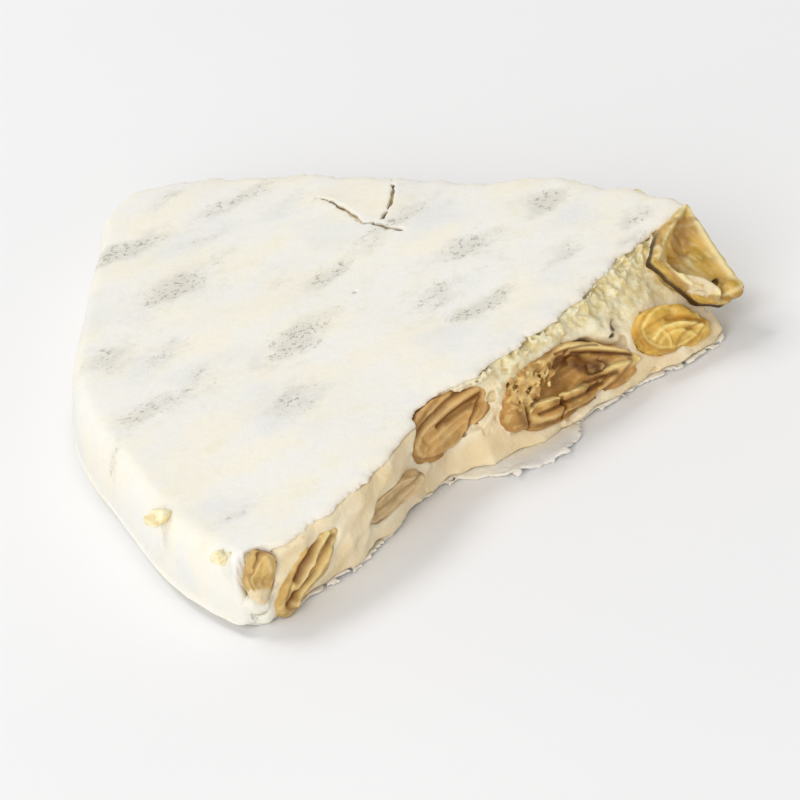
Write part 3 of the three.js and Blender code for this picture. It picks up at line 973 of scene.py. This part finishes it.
LOOKS["almond_front_5"] = Look(
    "brown",
    strokes=[
        ((-0.1, 0.05), (0.3, -0.3), (0.95, -0.85), 0.42, 0.5),
        ((0, 1), (0.45, 0.55), (1, -0.8), 0.42, 0.5),
        ((0.12, 0.62), (0.45, 0.2), (0.9, -0.6), 0.24, -0.35),
        ((-0.75, 0), (-0.5, 0.1), (-0.2, 0.05), 0.3, -0.5),
        ((-0.62, -0.1), (-0.3, -0.3), (0.1, -0.45), 0.34, 0.35),
        ((-0.75, -0.35), (-0.3, -0.6), (0.3, -0.75), 0.24, -0.3),
        ((-0.2, -0.2), (0.1, -0.45), (0.55, -0.75), 0.26, -0.3),
        ((-0.1, 0.9), (0.25, 0.75), (0.5, 0.35), 0.16, -0.25),
        ((-0.35, 0.35), (-0.2, 0.7), (0.1, 0.8), 0.2, -0.3),
        ((-0.5, -0.9), (0, -0.98), (0.4, -1), 0.16, -0.2),
        ((-0.84, 0.3), (-0.88, -0.2), (-0.96, -0.8), 0.17, -0.45),
        ((-0.85, -0.12), (-0.6, 0.05), (-0.35, -0.35), 0.2, 0.35),
        ((-0.36, -0.3), (-0.28, -0.6), (-0.45, -1), 0.16, -0.35),
    ],
    lobes=[
        (-1.08, 0.04, -0.3, 1.6, 1.5, 1.5, 60),
        (-0.62, -0.5, -0.4, 2.4, 1.2, 1.3, -14),
        (-0.1, -0.75, -0.3, 2.8, 1.1, 1.4, -12),
        (0.45, -0.95, -0.5, 3, 0.9, 1.3, -14),
        (0.7, -0.5, -0.9, 2.6, 1.2, 1.2, -30),
        (0.58, -0.74, -0.3, 2.9, 1, 1.3, -24),
    ],
    hollows=[(0.16, 0.12, 0.1, 3.4, 1.25, 1.9, -31, 1), (-0.1, 0.55, 0.3, 1.2, 0.9, 1.3, 0, 0.85)],
    crumbs=[(-0.64, 0.55, 0.36, 0.46)],
    cut=[(-0.25, 1.2), (0.2, 0.98), (0.62, 0.2), (1.02, -0.7)],
)
LOOKS["almond_front_6"] = Look(
    "gold",
    strokes=[
        ((-0.7, -0.25), (-0.05, 0.45), (0.85, -0.6), 0.3, 0.42),
        ((-0.1, 0.35), (0.45, 0.15), (0.95, -0.3), 0.24, -0.26),
        ((-0.55, -0.5), (-0.05, 0.05), (0.5, -0.8), 0.22, 0.2),
        ((-0.8, 0.3), (-0.3, 0.5), (0.2, 0.4), 0.22, -0.16),
        ((-0.1, -0.9), (0.1, -0.5), (0.5, -0.45), 0.2, -0.2),
        ((-0.35, -0.1), (-0.2, -0.4), (-0.3, -0.8), 0.16, 0.2),
        ((0.3, -0.4), (0.6, -0.5), (0.9, -0.3), 0.2, -0.24),
    ],
    lobes=[
        (-0.35, 0.5, -0.5, 2.6, 1.3, 1.2, 8),
        (0.35, -0.55, -0.5, 2.6, 1.5, 1.3, -26),
        (0.5, 0.3, -0.8, 2.2, 1.4, 1.3, -30),
        (0.78, -0.5, -0.6, 1.9, 1.4, 1.3, -20),
    ],
)
LOOKS["almond_front_7"] = Look(
    "olive",
    strokes=[
        ((-0.78, 1.15), (-0.95, 0.2), (-0.92, -0.7), 0.3, 0.2),
        ((-0.66, 1.15), (-0.1, 0.5), (0.85, -0.15), 0.42, 0.25),
        ((-0.35, -0.75), (0.05, -0.6), (0.5, -0.8), 0.5, 0.45),
        ((-1, -0.4), (-0.8, -0.75), (-0.1, -0.95), 0.34, 0.3),
        ((-0.3, -0.2), (0.1, -0.36), (0.5, -0.5), 0.6, 0.16),
        ((-0.1, -1.2), (0, -0.95), (0.25, -0.9), 0.2, -0.4),
    ],
    lobes=[(0.78, -0.35, -0.3, 1.2, 1.3, 1.2, 0), (0.2, -0.85, -0.5, 2.6, 1, 1.1, 4)],
    hollows=[
        (-0.52, 0.2, 0, 2.6, 1.6, 1.4, 104, 0.8),
        (-0.5, -0.5, -0.3, 1.6, 0.8, 1.2, -40, 0.5),
        (0.44, -0.38, 0.2, 1, 0.5, 1.6, 70, 2),
    ],
    coats=[(0, -0.7, 0.14, 0.16), (0.27, -0.8, 0.13, 0.16), (0.1, -1, 0.2, 0.1)],
    cut=[(-0.75, 1.25), (1, -0.1)],
    plate=[(-0.75, 1.25), (-1.05, 0.2), (-1, -0.85), (0.25, -1.2), (0.8, -0.85), (1, -0.1)],
)


def chance_look(rng):
    """A look of the same kind for an almond on the far break."""
    strokes = []
    for level in np.linspace(-0.7, 0.8, rng.integers(3, 6)):
        level += rng.uniform(-0.2, 0.2)
        lean, bend = rng.uniform(-0.5, 0.5, 2)
        near, far = rng.uniform(0.1, 0.95, 2)
        height = rng.choice([-0.5, -0.25, 0.2, 0.35])
        width = rng.uniform(0.16, 0.42)
        middle = (rng.uniform(-0.3, 0.3), level + bend)
        strokes.append(((-near, level - lean), middle, (far, level + lean), width, height))
    lobes = [chance_lump(rng, -0.8, (1.4, 2.8), (0.9, 1.3)) for _ in range(rng.integers(2, 5))]
    hollows = [chance_lump(rng, 0.2, (1.0, 2.6), (0.4, 1.0)) for _ in range(rng.integers(0, 3))]
    hollows = [(*hollow, HOLLOW_SHADE) for hollow in hollows]
    crumbs = [(*rng.uniform(-0.7, 0.7, 2), 0.3, 0.4) for _ in range(rng.integers(0, 2))]
    coats = [(*rng.uniform(-0.9, 0.9, 2), 0.3, 0.3) for _ in range(rng.integers(0, 3))]
    finish = str(rng.choice(["brown", "golden", "gold", "tan"]))
    return Look(finish, strokes, lobes, hollows, crumbs, coats)


def chance_lump(rng, w, longs, wides):
    u, v = rng.uniform(-0.7, 0.7, 2)
    return u, v, w, rng.uniform(*longs), rng.uniform(*wides), 1.2, rng.uniform(-50, 50)


class Split:
    """An almond's split face: its middle, its directions, and its half length and half width."""

    def __init__(self, node):
        points, faces = cad_mesh(node)
        normals = face_normals(points, faces)
        area = norm(normals, axis=1)
        units = normals / np.maximum(area, 1e-9)[:, None]
        same = units @ units.T > 0.9995
        chosen = same[np.argmax((same * area).sum(1))]
        out = normals[chosen].sum(0)
        out /= norm(out)
        edge = points[np.unique(faces[chosen])]
        middle = (edge.min(0) + edge.max(0)) / 2
        spread = (edge - middle) - np.outer((edge - middle) @ out, out)
        long = np.linalg.svd(spread)[2][0]
        long *= 1 if long[0] > 0 else -1
        self.axes = np.array([long, np.cross(out, long), out])
        across = edge @ self.axes.T
        self.centre = across.mean(0) @ self.axes
        self.half = np.ptp(across[:, :2], axis=0) / 2

    def local(self, points):
        """Places in the almond's own directions."""
        return (points - self.centre) @ self.axes.T

    def offset(self, u, v, w):
        return np.array([u * self.half[0], v * self.half[1], w])

    def ellipsoid(self, u, v, w, long, wide, deep, turn):
        """An ellipsoid's place, radii and directions in the part's frame."""
        place = self.centre + self.offset(u, v, w) @ self.axes
        return place, (long, wide, deep), turned(turn) @ self.axes

    def ring(self, local):
        """0 at the face's middle and 1 at its edge."""
        return (local[:, 0] / self.half[0]) ** 2 + (local[:, 1] / self.half[1]) ** 2

    def share(self, local, u, v, w, long, wide, deep, turn):
        """1 in an ellipsoid and 0 beyond it."""
        d = (local - self.offset(u, v, w)) @ turned(turn).T
        return 1 - ramp(norm(d / (long, wide, deep), axis=1), 0.9, 1.25)

    def patch_share(self, local, u, v, reach_u, reach_v):
        """1 in the middle of a patch, falling to 0 beyond its uneven edge."""
        d = (local[:, :2] / self.half - (u, v)) / (reach_u, reach_v)
        ragged = np.exp(-(d**2).sum(1) / 2) + 0.3 * noise(local, 0.9, 96)
        return ramp(ragged + 0.2 * noise(local, 0.45, 98), 0.35, 0.7)

    def left_of(self, local, start, end):
        """How far each place is to the left of a line across the face."""
        a, b = (np.array(p) * self.half for p in (start, end))
        along = (b - a) / norm(b - a)
        return (local[:, :2] - a) @ np.array([-along[1], along[0]])

    def plate_edge(self, local, plate):
        """The distance to a plate's outline, negative inside."""
        edge = np.full(len(local), -FAR, float32)
        for a, b in zip(plate, plate[1:] + plate[:1]):
            edge = soft_max(edge, -self.left_of(local, a, b), 0.3)
        return edge

    def stroke_share(self, local, path, width, steps=11):
        """1 on the middle of a stroke, falling to 0 beside it."""
        t = np.linspace(0, 1, steps)[:, None]
        start, bend, end = (np.array(p) * self.half for p in path)
        line = (1 - t) ** 2 * start + 2 * t * (1 - t) * bend + t**2 * end
        uv = local[:, :2]
        reach = 2.6 * width
        close = ((uv > line.min(0) - reach) & (uv < line.max(0) + reach)).all(1)
        x, y = uv[close].T.astype(float32)
        nearest = np.full(len(x), np.inf, float32)
        for (ax, ay), (bx, by) in zip(line[:-1].tolist(), line[1:].tolist()):
            dx, dy = bx - ax, by - ay
            along = np.clip(((x - ax) * dx + (y - ay) * dy) / (dx * dx + dy * dy), 0, 1)
            nearest = np.minimum(nearest, (x - ax - along * dx) ** 2 + (y - ay - along * dy) ** 2)
        share = np.zeros(len(uv), float32)
        share[close] = np.exp(-nearest / width**2)
        return share


def turned(degrees):
    """Directions turned in the split face."""
    turn = np.eye(3)
    turn[:2, :2] = directions(degrees)
    return turn


def make_plate(field, split, plate):
    """Turns the front of an almond into a thin piece of shell with its rim raised."""
    local = split.local(field.where(np.ones(field.phi.shape, bool)))
    behind = soft_max(field.phi.reshape(-1), local[:, 2] - PLATE_FLOOR, 0.3)
    edge = split.plate_edge(local, plate)
    top = PLATE_FLOOR * ramp(-edge, 0.3, 1.8)
    shell = soft_max(edge, np.abs(local[:, 2] - top + PLATE_DEPTH) - PLATE_DEPTH, 0.3)
    field.phi = soft_min(behind, shell, 0.3).reshape(field.phi.shape)


def roughen_almond(field, split, look, index):
    """Gives an almond its relief, fibres and strokes, and ends it at its cut."""
    near = np.abs(field.phi) < 1.3
    local = split.local(field.where(near))
    facing = ramp(local[:, 2], -1.4, -0.2)
    relief = layered(local, (0.14, 2.4, 50 + index), (0.07, 0.8, 70 + index))
    relief += 0.13 * facing * noise(local * FIBRE, FIBRE_SIZE, 90 + index)
    front = facing > 0
    for *path, width, height in look.strokes:
        relief[front] -= facing[front] * height * split.stroke_share(local[front], path, width)
    field.phi[near] += relief
    if look.cut:
        beyond = np.full(len(local), -FAR, float32)
        for a, b in zip(look.cut, look.cut[1:]):
            beyond = np.maximum(beyond, split.left_of(local, a, b))
        beyond += 0.25 * noise(local, 1.3, 95)
        field.phi[near] = soft_max(field.phi[near], beyond, 0.25)


def crumble(field, split, rng, u, v, *reach):
    """Adds and cuts out grains at random in a patch."""
    for _ in range(PATCH_GRAINS):
        spot = rng.normal(0, 0.5, 2) * reach + (u, v)
        place = split.centre + split.offset(*spot, rng.uniform(-0.7, 0.1)) @ split.axes
        blob = field.add if rng.random() < 0.5 else field.carve
        blob(place, rng.uniform(0.15, 0.42) * rng.uniform(0.6, 1.5, 3), None, 0.25, (0.14, 0.4, 9))


def limit_height(field, highest):
    """Keeps an almond above the floor, and below the crest of the break."""
    z = field.low[2] + ALMOND_STEP * np.arange(field.phi.shape[2])
    over = np.maximum(LEAST_HEIGHT - z, z - highest)
    field.phi = soft_max(field.phi, over, 0.4).astype(float32)


def almond_masks(points, split, look, index):
    local = split.local(points)
    facing = ramp(local[:, 2], -1.6, -0.4)
    ring = split.ring(local)
    # A pale band inside the face's edge and on raised strokes: painted highlight; on crumbs the pale
    # is their own golden colour.
    ridge_highlight_and_grain = 0.5 * ramp(ring, 0.7, 0.85) * (1 - ramp(ring, 0.88, 0.98))
    # The dark ring just past the face's edge is the brown skin and the shade of its gap; sunk strokes
    # and hollows get painted shade.
    groove_shade_and_skin = 0.5 * (ramp(ring, 0.97, 1.06) - ramp(ring, 1.15, 1.3))
    for *path, width, height in look.strokes:
        share = split.stroke_share(local, path, width) * min(1, abs(height) / 0.35)
        if height > 0:
            ridge_highlight_and_grain = np.maximum(ridge_highlight_and_grain, share)
        else:
            groove_shade_and_skin = np.maximum(groove_shade_and_skin, share)
    ridge_highlight_and_grain *= facing
    groove_shade_and_skin *= facing
    # A shell's outer wall gets the painted shadow of its gap; hollows get painted shade in groove, and
    # past 1 also the darkest painted shade in hole.
    hole_and_gap_shade = plate_shade(local, split, look.plate) if look.plate else np.zeros(len(points))
    for *hollow, shade in look.hollows:
        share = split.share(local, *hollow)
        groove_shade_and_skin = np.maximum(groove_shade_and_skin, min(shade, 1) * share)
        hole_and_gap_shade = np.maximum(hole_and_gap_shade, max(shade - 1, 0) * share)
    for patch in look.crumbs:
        share = split.patch_share(local, *patch)
        ridge_highlight_and_grain = np.maximum(ridge_highlight_and_grain, share * (0.4 + 0.8 * noise(points, 0.9, 97)))
        groove_shade_and_skin *= 1 - 0.8 * share
    coat = np.zeros(len(points))
    for patch in look.coats:
        coat = np.maximum(coat, 0.85 * facing * split.patch_share(local, *patch))
    fibre = noise(local * FIBRE, FIBRE_SIZE, 90 + index)
    return {"ridge_highlight_and_grain": ridge_highlight_and_grain, "groove_shade_and_skin": groove_shade_and_skin, "coat": coat, "hole_and_gap_shade": hole_and_gap_shade, "fibre": fibre}


def plate_shade(local, split, plate):
    """1 low on the outer wall of a plate, where the shadow of the gap under it is painted, and 0
    elsewhere.
    """
    wall = ramp(split.plate_edge(local, plate), -0.5, -0.1)
    low = 1 - ramp(local[:, 1] / split.half[1], -0.1, 0.5)
    return low * wall * ramp(-local[:, 2], 0.5, 1.3)


def build_almond(node, index, split, materials):
    rng = np.random.default_rng(index + 20)
    look = LOOKS.get(node) or chance_look(rng)
    field = Field.of_node(node, ALMOND_STEP, ALMOND_BAND)
    field.phi = blurred(field.phi, 2) - SWELLING
    if look.plate:
        make_plate(field, split, look.plate)
    for lobe in look.lobes:
        field.add(*split.ellipsoid(*lobe), 0.25, (0.15, 1.5, index))
    roughen_almond(field, split, look, index)
    for *hollow, shade in look.hollows:
        field.carve(*split.ellipsoid(*hollow), 0.2, (0.25, 0.9, index + 5))
    for patch in look.crumbs:
        crumble(field, split, rng, *patch)
    limit_height(field, math.inf if node in LOOKS else BACK_CREST)
    points, faces = field.polygons(ALMOND_DETAIL)
    masks = almond_masks(points, split, look, index)
    name = node.replace("almond_", "almond_split_")
    piece = make_piece(name, points, faces, materials[look.finish], masks)
    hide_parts(node)


# Crumbs that lie on the upper wafer: place and radii.
CRUMBS = [((-31.4, -32.1, 8.5), (1.5, 1.1, 0.95)), ((-25.6, -44.1, 8.6), (1.1, 0.85, 0.8))]


def build_crumbs(material, margin=3):
    places = np.array([place for place, radii in CRUMBS])
    field = Field(places.min(0) - margin, places.max(0) + margin, ALMOND_STEP)
    for seed, (place, radii) in enumerate(CRUMBS, 61):
        field.add(place, radii, rough=(0.45, 1.1, seed))
    points, faces = field.polygons(ALMOND_DETAIL)
    masks = {"crumb": np.ones(len(points))}
    piece = make_piece("crumbs", points, faces, material, masks)


# ---- Stage, light and camera, in metres

FLOOR_SIZE = 6
WORLD_STRENGTH = 0.52

# Round lamps that aim at the part: place, size, power and colour.
LAMPS = {
    "fill": ((-0.35, -0.75, 0.45), 0.7, 4.3, (1.0, 0.99, 0.975)),
    "key": ((-0.45, 0.55, 0.9), 0.5, 4.8, (1.0, 0.985, 0.96)),
}

CAMERA_AIM = (-0.0021, -0.0145, 0.005)
CAMERA_AZIMUTH = -0.2
CAMERA_ELEVATION = 29.4
CAMERA_ROLL = 14.9
CAMERA_DISTANCE = 0.6006
CAMERA_LENS = 235.3
SENSOR = 36


def build_stage():
    bpy.ops.mesh.primitive_plane_add(size=FLOOR_SIZE)
    floor = bpy.context.object
    floor.name = "floor"
    m = Nodes("floor")
    m.tone = m.mix(m.ramp(m.noise(120, 2), 0.3, 0.7), colour(244, 244, 245), colour(241, 241, 242))
    m.bump(m.noise(3, 2), 0.02)
    floor.data.materials.append(m.finish(0.6, specular=0.2))
    floor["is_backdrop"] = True


def build_lights():
    world = bpy.data.worlds.new("studio")
    world.use_nodes = True
    background = world.node_tree.nodes["Background"]
    background.inputs["Color"].default_value = (1.0, 1.0, 1.0, 1)
    background.inputs["Strength"].default_value = WORLD_STRENGTH
    bpy.context.scene.world = world
    for name, (place, size, power, tint) in LAMPS.items():
        light = bpy.data.lights.new(name, "AREA")
        light.shape = "DISK"
        light.size = size
        light.energy = power
        light.color = tint
        lamp = add_object(name, light)
        lamp.location = place
        lamp.rotation_euler = (-Vector(place)).to_track_quat("-Z", "Y").to_euler()


def build_camera():
    data = bpy.data.cameras.new("camera")
    data.lens = CAMERA_LENS
    data.sensor_width = SENSOR
    camera = add_object("camera", data)
    azimuth, elevation, roll = map(math.radians, (CAMERA_AZIMUTH, CAMERA_ELEVATION, CAMERA_ROLL))
    level = math.cos(elevation)
    back = Vector((math.sin(azimuth) * level, -math.cos(azimuth) * level, math.sin(elevation)))
    camera.location = Vector(CAMERA_AIM) + back * CAMERA_DISTANCE
    turn = back.to_track_quat("Z", "Y").to_matrix()
    camera.rotation_euler = (turn @ Matrix.Rotation(-roll, 3, "Z")).to_euler()
    bpy.context.scene.camera = camera


build_camera()
build_stage()
build_lights()
wafer = wafer_material()
upper = build_upper_wafer(wafer)
lower = build_lower_wafer(wafer)
almonds = sorted(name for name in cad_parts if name.startswith("almond"))
splits = {name: Split(name) for name in almonds}
nougat = nougat_material()
build_nougat(nougat, upper, lower, splits)
build_crumbs(nougat)
toasted = {name: almond_material(name) for name in ALMOND_TONES}
for number, name in enumerate(almonds):
    build_almond(name, number, splits[name], toasted)

bpy.context.scene.view_settings.view_transform = "Standard"
sizes = {"cad": cad_box, "visual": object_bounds()}
sizes = {name: [[float(c) for c in corner] for corner in box] for name, box in sizes.items()}
